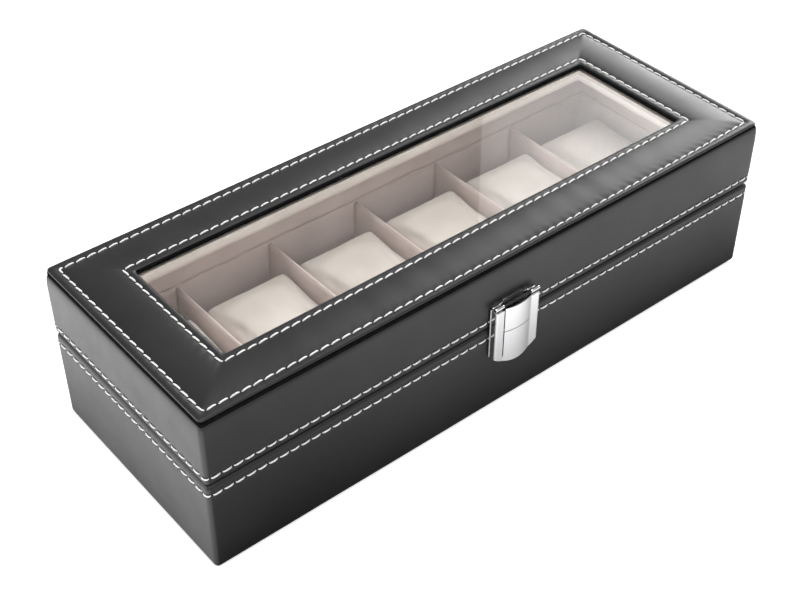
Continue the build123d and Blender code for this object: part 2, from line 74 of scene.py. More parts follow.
WALL = half("base_leather")
CARCASS = half("base_carcass")
CAVITY = half("base_lining")
PANE = half("window_glass")
FOOT, BASE_RIM = heights("base_leather")
CARCASS_BOTTOM, BASE_CARCASS_TOP = heights("base_carcass")
LID_CARCASS_BOTTOM, LID_CARCASS_TOP = heights("lid_carcass")
LID_RIM = heights("lid_skirt_leather")[0]
TOP = heights("lid_top_leather")[1]
BOARD_TOP = heights("lid_top_board")[1]
GLASS_BOTTOM = heights("window_glass")[0]
RETAINER_BOTTOM = heights("window_retainer")[0]
BASE_STITCH_Z = sum(heights("base_stitching")) / 2
SKIRT_STITCH_Z = sum(heights("lid_skirt_stitching")) / 2
LINING_FLOOR = heights("divider_1")[0]
LINED_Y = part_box("divider_1")[1].y
LINED = (CAVITY[0] - (CAVITY[1] - LINED_Y), LINED_Y)
HINGE_LEAF_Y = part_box("left_hinge_base_leaf")[0].y
HINGE_NOTCHES = [
    [corner.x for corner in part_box(f"{side}_hinge_base_leaf")] for side in ("left", "right")
]
CORNER = 2.0 * MM
LIP_CORNER = 2.2 * MM
SEAM_CORNER = 1.2 * MM
TIGHT_CORNER = 0.4 * MM
THREAD = 0.9 * MM
STITCH_PITCH = 5.0 * MM
OUTER_STITCH = grown(half("lid_outer_stitching"), -THREAD / 2)
INNER_STITCH = grown(half("lid_inner_stitching"), -THREAD / 2)
SEAM_TO_WINDOW = (3.8 * MM, 3.9 * MM)
WINDOW = tuple(v - gap for v, gap in zip(INNER_STITCH, SEAM_TO_WINDOW))

# ---- shader building ----

WHITE = (1.0, 1.0, 1.0, 1.0)


def set_inputs(node, values):
    """Sets a node's inputs from keywords; an underscore stands for a space."""
    for name, value in values.items():
        node.inputs[name.replace("_", " ")].default_value = value


class Shader:
    """A node material with one Principled shader and short calls to build round it."""

    def __init__(self, name, **values):
        self.material = bpy.data.materials.new(name)
        self.material.use_nodes = True
        self.nodes = self.material.node_tree.nodes
        self.principled = self.nodes["Principled BSDF"]
        self.position = self.add("ShaderNodeTexCoord").outputs["Object"]
        set_inputs(self.principled, values)

    def add(self, kind, **values):
        node = self.nodes.new(kind)
        set_inputs(node, values)
        return node

    def link(self, source, target):
        self.material.node_tree.links.new(source, target)

    def noise(self, scale, detail=2.0, roughness=0.5, stretch=None):
        node = self.add("ShaderNodeTexNoise", Scale=scale, Detail=detail, Roughness=roughness)
        point = self.position
        if stretch:
            scaled = self.nodes.new("ShaderNodeVectorMath")
            scaled.operation = "MULTIPLY"
            scaled.inputs[1].default_value = stretch
            self.link(point, scaled.inputs[0])
            point = scaled.outputs["Vector"]
        self.link(point, node.inputs["Vector"])
        return node.outputs["Fac"]

    def cells(self, scale, feature="F1"):
        node = self.add("ShaderNodeTexVoronoi", Scale=scale)
        node.feature = feature
        self.link(self.position, node.inputs["Vector"])
        return node.outputs["Distance"]

    def map(self, source, from_low, from_high, to_low, to_high):
        ends = {"From_Min": from_low, "From_Max": from_high, "To_Min": to_low, "To_Max": to_high}
        node = self.add("ShaderNodeMapRange", **ends)
        self.link(source, node.inputs["Value"])
        return node.outputs["Result"]

    def math(self, operation, a, b):
        node = self.nodes.new("ShaderNodeMath")
        node.operation = operation
        for socket, value in zip(node.inputs, (a, b)):
            if isinstance(value, (int, float)):
                socket.default_value = value
            else:
                self.link(value, socket)
        return node.outputs["Value"]

    def colour(self, source):
        self.link(source, self.principled.inputs["Base Color"])

    def mottle(self, source, dark, light, low=0.3, high=0.7):
        """Base colour from dark to light as the source goes from low to high."""
        node = self.nodes.new("ShaderNodeValToRGB")
        for element, position, colour in zip(node.color_ramp.elements, (low, high), (dark, light)):
            element.position = position
            element.color = (*colour, 1.0)
        self.link(source, node.inputs["Fac"])
        self.colour(node.outputs["Color"])

    def roughness(self, source, smooth, rough, low=0.3, high=0.7):
        """Roughness from smooth to rough as the source goes from low to high."""
        self.link(self.map(source, low, high, smooth, rough), self.principled.inputs["Roughness"])

    def bump(self, source, strength, distance):
        """Adds a bump on top of the ones already there."""
        node = self.add("ShaderNodeBump", Strength=strength, Distance=distance)
        self.link(source, node.inputs["Height"])
        target = self.principled.inputs["Normal"]
        if target.links:
            self.link(target.links[0].from_socket, node.inputs["Normal"])
        self.link(node.outputs["Normal"], target)

    def show_instead(self, ray, shader):
        """Gives rays of one kind another shader than the Principled one."""
        path = self.nodes.new("ShaderNodeLightPath")
        mix = self.nodes.new("ShaderNodeMixShader")
        self.link(path.outputs[ray], mix.inputs["Fac"])
        self.link(self.principled.outputs["BSDF"], mix.inputs[1])
        self.link(shader.outputs["BSDF"], mix.inputs[2])
        self.link(mix.outputs["Shader"], self.nodes["Material Output"].inputs["Surface"])


def black_leather():
    """Smooth PU leather: fine grain, soft sheen that varies a little over the hide."""
    s = Shader("black_leather", Specular_IOR_Level=0.45, IOR=1.5, Coat_Weight=0.12, Coat_Roughness=0.3)
    s.mottle(s.noise(28, 3.0, 0.55), (0.010, 0.010, 0.011), (0.016, 0.016, 0.017))
    s.roughness(s.noise(60, 4.0, 0.6), 0.38, 0.46)
    s.bump(s.cells(1500, "SMOOTH_F1"), 0.10, 0.05 * MM)
    s.bump(s.noise(420, 3.0, 0.6), 0.10, 0.08 * MM)
    s.bump(s.noise(45), 0.12, 0.5 * MM)
    return s.material


def thread():
    """Off-white polyester thread with its fine twist."""
    s = Shader("white_thread", Roughness=0.75, Sheen_Weight=0.3, Sheen_Roughness=0.5, Specular_IOR_Level=0.3)
    s.mottle(s.noise(500, 2.0, 0.6), (0.80, 0.79, 0.77), (0.94, 0.93, 0.91))
    s.bump(s.noise(2600, 2.0, 0.6, (1.0, 1.0, 0.35)), 0.5, 0.12 * MM)
    return s.material


def velvet(name, dark, light):
    """Short-pile velvet: brushed patches, a soft sheen and a fuzzy fine grain."""
    s = Shader(name, Roughness=0.92, Specular_IOR_Level=0.15, Sheen_Weight=0.6, Sheen_Roughness=0.45)
    set_inputs(s.principled, {"Sheen_Tint": (1.0, 0.96, 0.9, 1.0)})
    brushed = s.noise(38, 3.0, 0.55, (1.0, 1.0, 0.6))
    grain = s.noise(900, 2.0, 0.7)
    mixed = s.math("ADD", s.math("MULTIPLY", brushed, 0.88), s.math("MULTIPLY", grain, 0.12))
    s.mottle(mixed, dark, light, high=0.68)
    s.bump(grain, 0.2, 0.12 * MM)
    s.bump(s.noise(160, 3.0, 0.6), 0.12, 0.3 * MM)
    return s.material


def matt(s, texture, dark, light, strength, distance, high=0.7):
    """Finishes a matt material whose texture gives both its colour and its bump."""
    s.mottle(texture, dark, light, high=high)
    s.bump(texture, strength, distance)
    return s.material


def felt():
    """Black felt under the box."""
    s = Shader("black_felt", Roughness=0.97, Sheen_Weight=0.25, Sheen_Roughness=0.6, Specular_IOR_Level=0.1)
    fibres = s.noise(700, 4.0, 0.7)
    return matt(s, fibres, (0.012, 0.012, 0.013), (0.035, 0.035, 0.037), 0.6, 0.25 * MM, 0.75)


def painted_shade_black():
    """Near-black matt colour painted on the cut leather edges and the gap behind them as their shade."""
    s = Shader("painted_shade_black", Roughness=0.95, Specular_IOR_Level=0.05)
    fibres = s.noise(500, 3.0, 0.6)
    return matt(s, fibres, (0.004, 0.004, 0.0042), (0.010, 0.010, 0.0105), 0.4, 0.1 * MM, 0.75)


def chrome():
    """Bright plating with a little haze and hairline scratches."""
    s = Shader("chrome", Metallic=1.0, Base_Color=(0.92, 0.92, 0.93, 1.0))
    hairs = s.noise(900, stretch=(1.0, 1.0, 0.04))
    s.roughness(s.math("ADD", s.noise(180, 4.0, 0.6), hairs), 0.10, 0.20, 0.7, 1.3)
    s.bump(hairs, 0.06, 0.02 * MM)
    s.bump(s.noise(120), 0.05, 0.1 * MM)
    return s.material


def steel():
    """Nickel-plated sheet and wire, drawn along X."""
    s = Shader("nickel_steel", Metallic=1.0)
    drawn = s.noise(1400, 3.0, 0.6, (0.05, 1.0, 1.0))
    s.mottle(drawn, (0.50, 0.49, 0.47), (0.66, 0.65, 0.63))
    s.roughness(drawn, 0.24, 0.38)
    s.bump(drawn, 0.15, 0.03 * MM)
    return s.material


def painted_shade_steel():
    """Near-black steel painted as shade on the shadowed parts of the latch: the crease, the middle knuckle
    and the pin.
    """
    s = Shader("painted_shade_steel", Metallic=1.0)
    tone_noise = s.noise(700, 3.0, 0.6)
    s.mottle(tone_noise, (0.035, 0.035, 0.037), (0.075, 0.075, 0.078))
    s.roughness(tone_noise, 0.35, 0.5)
    return s.material


def fibreboard():
    """Brown board of the carcasses."""
    s = Shader("fibreboard", Roughness=0.8, Specular_IOR_Level=0.2)
    fibres = s.noise(900, 4.0, 0.7, (0.4, 0.4, 1.0))
    return matt(s, fibres, (0.26, 0.18, 0.11), (0.44, 0.33, 0.22), 0.3, 0.1 * MM)


def grey_board():
    """Flecked grey stiffener of the padded top."""
    s = Shader("grey_board", Roughness=0.9, Specular_IOR_Level=0.2)
    flecks = s.noise(1200, 4.0, 0.7)
    return matt(s, flecks, (0.22, 0.21, 0.20), (0.38, 0.37, 0.35), 0.2, 0.08 * MM)


def foam_sheet():
    """Cream foam with open pores."""
    s = Shader("foam_sheet", Roughness=0.95, Specular_IOR_Level=0.1)
    pores = s.cells(1600)
    s.mottle(pores, (0.45, 0.42, 0.34), (0.74, 0.71, 0.62), 0.05, 0.5)
    s.bump(pores, 0.6, 0.2 * MM)
    return s.material


def clear_glass():
    """Thin clear pane that lets lamplight through to the lining."""
    s = Shader("clear_glass", Roughness=0.0, IOR=1.46, Transmission_Weight=1.0)
    set_inputs(s.principled, {"Base_Color": (0.97, 0.985, 0.98, 1.0)})
    s.show_instead("Is Shadow Ray", s.nodes.new("ShaderNodeBsdfTransparent"))
    return s.material


LEATHER = black_leather()
THREAD_WHITE = thread()
VELVET_CREAM = velvet("cream_velvet", (0.60, 0.535, 0.49), (0.71, 0.645, 0.60))
VELVET_BEIGE = velvet("beige_velvet", (0.61, 0.51, 0.475), (0.74, 0.635, 0.60))
FELT = felt()
# Near black put where shade falls: painted shade for edges and gaps.
SHADE_BLACK = painted_shade_black()
CHROME = chrome()
STEEL = steel()
# Dark steel: painted shade for the latch's hollows.
SHADE_STEEL = painted_shade_steel()
BOARD = fibreboard()
GREY_BOARD = grey_board()
FOAM = foam_sheet()
GLASS = clear_glass()

# ---- mesh building ----


def add_object(name, mesh, material):
    mesh.materials.append(material)
    obj = bpy.data.objects.new(name, mesh)
    bpy.context.scene.collection.objects.link(obj)
    return obj


def fill_mesh(mesh, work):
    """Moves a bmesh into a mesh, with its faces turned outwards."""
    bmesh.ops.recalc_face_normals(work, faces=work.faces)
    work.to_mesh(mesh)
    work.free()


def from_bmesh(name, work, material):
    mesh = bpy.data.meshes.new(name)
    fill_mesh(mesh, work)
    return add_object(name, mesh, material)


def make_object(name, verts, faces, material):
    mesh = bpy.data.meshes.new(name)
    mesh.from_pydata([tuple(v) for v in verts], [], faces)
    work = bmesh.new()
    work.from_mesh(mesh)
    fill_mesh(mesh, work)
    return shade_smooth(add_object(name, mesh, material))


def tube_faces(first, rings, around):
    """Faces of a tube with flat ends, whose rings of vertices follow one another."""
    faces = []
    for i in range(rings - 1):
        for k in range(around):
            a, b = first + i * around + k, first + i * around + (k + 1) % around
            faces.append((a, b, b + around, a + around))
    last = first + (rings - 1) * around
    return faces + [tuple(range(start, start + around)) for start in (first, last)]


def shade_smooth(obj):
    for polygon in obj.data.polygons:
        polygon.use_smooth = True
    return obj


def apply_modifiers(obj):
    graph = bpy.context.evaluated_depsgraph_get()
    mesh = bpy.data.meshes.new_from_object(obj.evaluated_get(graph))
    obj.modifiers.clear()
    obj.data = mesh


def place(obj, body, slot, *nodes):
    """Rides obj on a body and hides the CAD nodes that it stands for; slot is not used."""
    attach(obj, body)
    if nodes:
        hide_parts(*nodes)


class Loop:
    """Stations round the walls: along each side, then round each corner.

    Each station keeps its place when the outline is moved in or out, so that rings at
    different insets join up into clean quads; only those in a side's end zones move along.
    """

    def __init__(self, size, radius, pitch, corner_steps, extra_x=(), end_zone=10 * MM):
        self.size, self.radius, self.end_zone = size, radius, end_zone
        self.stations = []
        for side in range(4):
            along = size[side % 2] - radius
            count = max(2, round(2 * along / pitch))
            values = {round(-along + 2 * along * i / count, 7) for i in range(count + 1)}
            if side % 2 == 0:
                values |= {round(v, 7) for v in extra_x}
            self.stations += [("side", side, v) for v in sorted(values)]
            self.stations += [("corner", side, i / corner_steps) for i in range(1, corner_steps)]

    def along(self, side, value, end):
        """Where a side's station lies on an outline whose straight stretch ends at end."""
        full = self.size[side % 2] - self.radius
        flat = max(full - self.end_zone, 0.0)
        if abs(value) <= flat:
            return value
        return math.copysign(flat + (abs(value) - flat) * (end - flat) / (full - flat), value)

    def ring(self, size, radius):
        """(x, y, outward x, outward y) of every station on one outline."""
        points = []
        for kind, side, value in self.stations:
            turn = math.radians(90 * side)
            cos, sin = round(math.cos(turn)), round(math.sin(turn))
            long, across = size[side % 2], size[1 - side % 2]
            if kind == "side":
                local, normal = (self.along(side, value, long - radius), -across), (0.0, -1.0)
            else:
                angle = math.radians(-90 + 90 * value)
                normal = (math.cos(angle), math.sin(angle))
                local = (long - radius + radius * normal[0], radius - across + radius * normal[1])
            turned = [(x * cos - y * sin, x * sin + y * cos) for x, y in (local, normal)]
            points.append((*turned[0], *turned[1]))
        return points


def path_lengths(points):
    """Distance of each point along a closed path, and the whole length."""
    steps = [math.dist(points[i][:2], points[i - 1][:2]) for i in range(len(points))]
    total, lengths = 0.0, [0.0]
    for step in steps[1:]:
        total += step
        lengths.append(total)
    return lengths, total + steps[0]


def sweep(name, loop, rings, material, shift=None, shade_rings=()):
    """Closed tube round the box; rings is a closed profile of (size, radius, z).

    shift(ring, station, point) gives how far a point moves out along the profile's normal.
    The last argument holds the numbers of the rings whose strip up to the next ring is painted near black as
    shade: cut edges and the channel under the lip.
    """
    outlines = [loop.ring(size, radius) for size, radius, z in rings]
    count, around = len(loop.stations), len(rings)
    verts = []
    for i, (size, radius, z) in enumerate(rings):
        before, after = rings[i - 1], rings[(i + 1) % around]
        run_out = after[0][0] - before[0][0]
        run_up = after[2] - before[2]
        length = math.hypot(run_out, run_up) or 1.0
        normal_out, normal_up = run_up / length, -run_out / length
        for j, (x, y, nx, ny) in enumerate(outlines[i]):
            push = shift(i, j, (x, y, z)) if shift else 0.0
            out = normal_out * push
            verts.append((x + nx * out, y + ny * out, z + normal_up * push))
    faces = []
    for i in range(around):
        here, above = i * count, (i + 1) % around * count
        for j in range(count):
            k = (j + 1) % count
            faces.append((here + j, here + k, above + k, above + j))
    obj = make_object(name, verts, faces, material)
    # The listed strips get the near-black painted shade material.
    if shade_rings:
        obj.data.materials.append(SHADE_BLACK)
        for i in shade_rings:
            for polygon in obj.data.polygons[i * count : (i + 1) * count]:
                polygon.material_index = 1
    return obj


def inset(distance):
    """Wall outline moved in by a distance, as (size, radius)."""
    return grown(WALL, -distance), max(CORNER - distance, TIGHT_CORNER)


def clamp(value, low=0.0, high=1.0):
    return min(max(value, low), high)


def soft_noise(point, scale, seed):
    return noise.noise(Vector(point) / scale + Vector((seed, seed * 1.7, seed * 0.3)))


# ---- stitches ----


def even_pitch(length):
    """Pitch near the usual one that divides a seam into whole stitches."""
    return length / round(length / STITCH_PITCH)


def seam_measure(loop, size, radius):
    """Distance of each station along a seam, and the pitch of its stitches."""
    lengths, total = path_lengths(loop.ring(size, radius))
    return lengths, even_pitch(total)


def stitch_dent(distance, along, pitch, depth=0.30 * MM, pucker=0.12 * MM, spread=1.0 * MM):
    """How far a seam pulls the leather in: a shallow channel, deepest at the needle holes."""
    fall = math.exp(-((distance / spread) ** 2))
    wide = math.exp(-((distance / (2.6 * spread)) ** 2))
    hole = 0.5 - 0.5 * math.cos(2 * math.pi * (along / pitch + 0.5))
    return -(depth * fall + pucker * wide * hole)


class Path:
    """Rounded rectangle that a seam follows, by distance along it."""

    def __init__(self, size, radius):
        points = Loop(size, radius, 1.0 * MM, 6).ring(size, radius)
        lengths, self.total = path_lengths(points)
        self.lengths = [*lengths, self.total]
        self.columns = list(zip(*points, points[0]))

    def at(self, distance):
        """(x, y, outward x, outward y) at a distance along the path."""
        distance %= self.total
        x, y, nx, ny = (float(np.interp(distance, self.lengths, column)) for column in self.columns)
        size = math.hypot(nx, ny)
        return x, y, nx / size, ny / size


STITCH_RINGS = 9
STITCH_SIDES = 10
STITCH_PROUD = 0.10 * MM
STITCH_SUNK = 0.34 * MM
# Share of the pitch that one stitch spans, thickness of its thread, and how far it slants.
WALL_STITCH = (0.80, 0.70 * MM, 0.12 * MM)
TOP_STITCH = (0.86, 0.74 * MM, 0.24 * MM)
THREAD_END = 0.66
THREAD_WIDE = 1.05
THREAD_HIGH = 0.85
PLY_DEPTH = 0.10


def stitch_line(name, path, level, body, node):
    """One thread line: a row of separate arched stitches, each sunk at both ends."""
    pitch = even_pitch(path.total)
    on_wall = path is WALL_PATH
    shown, thickness, slant = WALL_STITCH if on_wall else TOP_STITCH
    verts, faces = [], []
    for n in range(round(path.total / pitch)):
        wobble = noise.noise(Vector((n * 3.1, 7.7, level * 100)))
        lean = slant * (1 + 0.35 * wobble)
        first = len(verts)
        for i in range(STITCH_RINGS):
            t = i / (STITCH_RINGS - 1)
            x, y, nx, ny = path.at((n + 0.5) * pitch + (t - 0.5) * pitch * shown)
            side = (t - 0.5) * 2 * lean
            rise = math.sin(math.pi * t) ** 0.35
            arch = STITCH_PROUD * rise - STITCH_SUNK * (1 - rise)
            thick = thickness / 2 * (THREAD_END + (1 - THREAD_END) * rise)
            if on_wall:
                centre = Vector((x + nx * arch, y + ny * arch, level + side))
                up, across = Vector((nx, ny, 0)), Vector((0, 0, 1))
            else:
                centre = Vector((x - nx * side, y - ny * side, level + arch))
                up, across = Vector((0, 0, 1)), Vector((nx, ny, 0))
            for k in range(STITCH_SIDES):
                angle = 2 * math.pi * k / STITCH_SIDES
                ply = 1 + PLY_DEPTH * math.cos(2 * (angle - 2.6 * math.pi * t))
                spoke = across * math.cos(angle) * THREAD_WIDE + up * math.sin(angle) * THREAD_HIGH
                verts.append(centre + spoke * thick * ply)
        faces += tube_faces(first, STITCH_RINGS, STITCH_SIDES)
    obj = make_object(name, verts, faces, THREAD_WHITE)
    place(obj, body, "white_thread", node)
    return obj


WALL_PATH = Path(WALL, CORNER)
OUTER_PATH = Path(OUTER_STITCH, SEAM_CORNER)
INNER_PATH = Path(INNER_STITCH, SEAM_CORNER)

# ---- leather ----

NOTCH_EDGES = [
    x + side * step
    for notch in HINGE_NOTCHES
    for x, side in zip(notch, (-1, 1))
    for step in (0, 0.04 * MM)
]
WALL_LOOP = Loop(WALL, CORNER, even_pitch(WALL_PATH.total) / 4, 6, NOTCH_EDGES, 24 * MM)
RIM_IN = (WALL[0] - CAVITY[0], WALL[1] - CAVITY[1])
INNER_RIM = grown(RIM_IN, -0.5 * MM)
SKIN = WALL[0] - CARCASS[0]
TURNED_UNDER = 14 * MM
SLIVER = 0.02 * MM
OUTER_FACE = 0.6 * MM
EDGE_ROLL = 2.5 * MM


def wall_leather(name, levels, stitch_z, seed, shade_rings=()):
    """Leather round the walls; levels is a closed profile of (inset, z).

    An inset is one distance for all four walls, or one for the ends and one for the sides.
    """
    rings = []
    for distance, z in levels:
        if isinstance(distance, tuple):
            size = (WALL[0] - distance[0], WALL[1] - distance[1])
            rings.append((size, TIGHT_CORNER, z))
        else:
            rings.append((*inset(distance), z))
    lengths, pitch = seam_measure(WALL_LOOP, WALL, CORNER)

    def shift(i, j, point):
        distance, z = levels[i]
        if isinstance(distance, tuple) or distance > OUTER_FACE:
            return 0.0
        wave = 0.05 * MM * soft_noise(point, 0.035, seed) + 0.02 * MM * soft_noise(point, 0.012, seed)
        return wave + stitch_dent(z - stitch_z, lengths[j], pitch)

    return sweep(name, WALL_LOOP, rings, LEATHER, shift, shade_rings)


def rounded(edge_z, side, reach_in=2.0 * MM, reach_up=2.4 * MM, steps=6):
    """Points of (inset, z) round a leather edge, from the wall to the rim."""
    turns = [math.pi / 2 * k / steps for k in range(steps + 1)]
    return [
        (reach_in * (1 - math.cos(a)), edge_z + side * reach_up * (1 - math.sin(a))) for a in turns
    ]


def stitch_levels(stitch_z):
    """Levels close together, to carry the dent of a seam."""
    steps = (-2.4, -1.7, -1.1, -0.7, -0.35, 0, 0.35, 0.7, 1.1, 1.7, 2.4)
    return [(0.0, stitch_z + step * MM) for step in steps]


def straight_levels(*heights):
    return [(0.0, z * MM) for z in heights]


def over_leaf(x, y):
    """Whether a place on the rim lies over a hinge leaf."""
    return y > HINGE_LEAF_Y and any(low <= x <= high for low, high in HINGE_NOTCHES)


def make_base_leather():
    levels = [(TURNED_UNDER, FOOT + SLIVER), (3.4 * MM, FOOT + SLIVER)]
    levels += reversed(rounded(FOOT, 1, 1.6 * MM, 2.0 * MM))
    levels += straight_levels(5, 9, 14, 19, 24, 29, 33, 36)
    levels += [level for level in stitch_levels(BASE_STITCH_Z) if level[1] < BASE_RIM - EDGE_ROLL]
    levels += rounded(BASE_RIM, -1)
    levels += [(INNER_RIM, BASE_RIM), (RIM_IN, BASE_RIM - 0.4 * MM), (RIM_IN, BASE_CARCASS_TOP)]
    levels += [(SKIN, BASE_CARCASS_TOP), (SKIN, CARCASS_BOTTOM), (TURNED_UNDER, CARCASS_BOTTOM)]
    obj = wall_leather("base_leather_wrap", levels, BASE_STITCH_Z, 3.0)
    for vertex in obj.data.vertices:
        x, y, z = vertex.co
        if z > BASE_CARCASS_TOP and over_leaf(x, y):
            vertex.co.z = BASE_CARCASS_TOP - SLIVER
    place(obj, "base", "black_leather", "base_leather")


# Top of the lid's side leather, in mm: it rolls in to a channel under the lip that is painted near black as
# shade.
SKIRT_TOP = [
    (0.03, 71.0), (0.09, 72.2), (0.19, 73.3), (0.32, 74.2), (0.47, 74.85),
    (0.62, 75.25), (0.78, 75.5), (0.9, 75.62), (0.95, 75.75), (0.95, 77.19),
]
# The strips from this ring of SKIRT_TOP up to the lip are painted near black: painted shade in the channel.
CHANNEL_START = 7
# The channel narrows towards the right: there the side leather stands this much higher.
CHANNEL_CLOSES = 1.35 * MM
CLOSING_FROM_X = -40 * MM


def make_skirt_leather():
    levels = [(RIM_IN, LID_CARCASS_BOTTOM), (RIM_IN, LID_RIM + 0.4 * MM), (INNER_RIM, LID_RIM)]
    levels += reversed(rounded(LID_RIM, 1))
    levels += [level for level in stitch_levels(SKIRT_STITCH_Z) if level[1] > LID_RIM + EDGE_ROLL]
    levels += straight_levels(54, 58, 62, 66, 69)
    first = len(levels)
    levels += [(d * MM, z * MM) for d, z in SKIRT_TOP]
    shade_rings = range(first + CHANNEL_START, len(levels))
    levels += [(SKIN, SKIRT_TOP[-1][1] * MM), (SKIN, LID_CARCASS_BOTTOM + SLIVER)]
    obj = wall_leather("lid_skirt_wrap", levels, SKIRT_STITCH_Z, 8.0, shade_rings)
    shoulder, edge = SKIRT_TOP[0][1] * MM, SKIRT_TOP[-2][1] * MM
    for vertex in obj.data.vertices:
        x, y, z = vertex.co
        if shoulder < z < edge + 0.01 * MM:
            right = clamp((x - CLOSING_FROM_X) / (WALL[0] - CLOSING_FROM_X))
            vertex.co.z += CHANNEL_CLOSES * right * (z - shoulder) / (edge - shoulder)
        if z < LID_CARCASS_BOTTOM and over_leaf(x, y):
            vertex.co.z = LID_CARCASS_BOTTOM + SLIVER
    place(obj, "lid", "black_leather", "lid_skirt_leather")


# Section of the padded top, in mm: (inset from the wall, height) up to the outer seam, and
# (distance from the window, height) past the inner seam.  Between the seams it is one crown.
LIP_SECTION = [
    (0.95, 77.2), (1.3, 77.35), (1.3, 77.85), (1.1, 78.05), (0.95, 78.18),
    (0.9, 78.36), (0.93, 78.56), (1.03, 78.75), (1.2, 78.92), (1.45, 79.07),
    (1.8, 79.18), (2.3, 79.25), (3.0, 79.24), (3.7, 79.15), (4.4, 79.03),
]
WINDOW_SECTION = [
    (3.3, 79.5), (2.6, 79.54), (1.8, 79.5), (1.1, 79.34),
    (0.55, 79.05), (0.18, 78.62), (0.0, 78.1), (0.0, 77.28),
]
# The side that lies on the foam and the board, from the window back to the lip.
UNDER_WINDOW = [(0.8, 77.28), (0.8, 78.05), (2.2, 78.6)]
UNDER_CROWN = (0.94, 0.7, 0.5, 0.3, 0.06)
UNDER_LIP = [(4.0, 78.3), (2.6, 78.35), (2.0, 78.15), (1.86, 77.9), (1.86, 77.2)]
CROWN_STEPS = (
    0.0, 0.02, 0.05, 0.09, 0.14, 0.2, 0.28, 0.37, 0.46,
    0.55, 0.64, 0.73, 0.81, 0.87, 0.92, 0.96, 0.985, 1.0,
)
# Strips at the foot of the lip and of the window that are a cut edge, painted near black as the shade under
# the lip and down into the window.
SHADE_LIP_RINGS = 4
SHADE_WINDOW_RINGS = 3
SEAM_INSET = 4.8
OUTER_SEAM_Z = 78.98
INNER_SEAM_Z = 79.44
CROWN = 0.78
SKIN_THICKNESS = 0.75
SEAM_DRIFT = 1.65 * MM
DRIFT_REACH = 10 * MM
DRIFT_SKEW = 1.6
FOAM_GAP = 0.25 * MM


def wall_ring(distance, z):
    """Ring of the top at a distance in mm in from the walls."""
    radius = LIP_CORNER - (LIP_CORNER - SEAM_CORNER) * distance / SEAM_INSET
    return grown(WALL, -distance * MM), radius, z * MM


def window_ring(distance, z):
    """Ring of the top at a distance in mm out from the window."""
    return grown(WINDOW, distance * MM), SEAM_CORNER, z * MM


def crown_ring(t, sink=0.0):
    """Ring of the padding, t of the way from the outer seam to the inner one."""
    size = tuple(a + (b - a) * t for a, b in zip(OUTER_STITCH, INNER_STITCH))
    z = OUTER_SEAM_Z + (INNER_SEAM_Z - OUTER_SEAM_Z) * t + 4 * CROWN * t * (1 - t)
    return size, SEAM_CORNER, (z - sink) * MM


def drift_seam(obj):
    """Lets the front outer seam wander towards the edge, most of all right of the middle."""
    lip_inset, seam_inset = min(LIP_SECTION)[0] * MM, WALL[1] - OUTER_STITCH[1]
    for vertex in obj.data.vertices:
        along = clamp((vertex.co.x + WALL[0]) / (2 * WALL[0]))
        depth = vertex.co.y + WALL[1]
        if depth < seam_inset:
            share = max(depth - lip_inset, 0.0) / (seam_inset - lip_inset)
        else:
            share = max(1 - (depth - seam_inset) / DRIFT_REACH, 0.0)
        vertex.co.y -= SEAM_DRIFT * math.sin(math.pi * along**DRIFT_SKEW) * share


def make_top_pad():
    """Padded top frame: leather drawn over foam, quilted by two seams."""
    foot, foot_z = LIP_SECTION[0]
    outside = [(*inset(foot * MM), foot_z * MM)]
    outside += [wall_ring(d, z) for d, z in LIP_SECTION[1:]]
    outside += [crown_ring(t) for t in CROWN_STEPS]
    outside += [window_ring(d, z) for d, z in WINDOW_SECTION]
    inside = [window_ring(d, z) for d, z in UNDER_WINDOW]
    inside += [crown_ring(t, SKIN_THICKNESS) for t in UNDER_CROWN]
    inside += [wall_ring(d, z) for d, z in UNDER_LIP]
    loop = Loop(WALL, CORNER, STITCH_PITCH / 4, 6, end_zone=WALL[0])
    outer_lengths, outer_pitch = seam_measure(loop, OUTER_STITCH, SEAM_CORNER)
    inner_lengths, inner_pitch = seam_measure(loop, INNER_STITCH, SEAM_CORNER)
    across = [0.0]
    for a, b in zip(outside, outside[1:]):
        across.append(across[-1] + math.hypot(a[0][1] - b[0][1], a[2] - b[2]))
    outer_seam = across[len(LIP_SECTION)]
    inner_seam = across[len(LIP_SECTION) + len(CROWN_STEPS) - 1]

    def shift(i, j, point):
        if i >= len(outside):
            return 0.0
        x, y, z = point
        from_edge = min(across[i], across[-1] - across[i])
        loose = clamp((from_edge - 1 * MM) / (5 * MM))
        slack = 1.0 if y < 0 else 0.6
        wave = slack * 0.13 * MM * soft_noise((x, y * 0.4, 0), 0.010, 5.0)
        wave += 0.12 * MM * soft_noise((x, y, 0), 0.032, 9.0) - 0.06 * MM
        dent = stitch_dent(across[i] - outer_seam, outer_lengths[j], outer_pitch, 0.20 * MM)
        dent += stitch_dent(across[i] - inner_seam, inner_lengths[j], inner_pitch, 0.14 * MM, 0.10 * MM)
        return wave * loose + dent

    # These strips get the near-black painted shade material.
    shade_rings = [*range(SHADE_LIP_RINGS), *range(len(outside) - 1 - SHADE_WINDOW_RINGS, len(outside) - 1)]
    leather = sweep("lid_top_wrap", loop, outside + inside, LEATHER, shift, shade_rings)
    drift_seam(leather)
    place(leather, "lid", "black_leather", "lid_top_leather")

    roof = [crown_ring(t, SKIN_THICKNESS) for t in reversed(UNDER_CROWN)]
    roof = [(size, radius, max(z - FOAM_GAP, BOARD_TOP + 0.03 * MM)) for size, radius, z in roof]
    floor = [(size, radius, BOARD_TOP) for size, radius, z in (roof[-1], roof[0])]
    foam = sweep("top_foam_sheet", loop, roof + floor, FOAM)
    place(foam, "lid", "foam", "lid_top_foam")


make_base_leather()
make_skirt_leather()
make_top_pad()

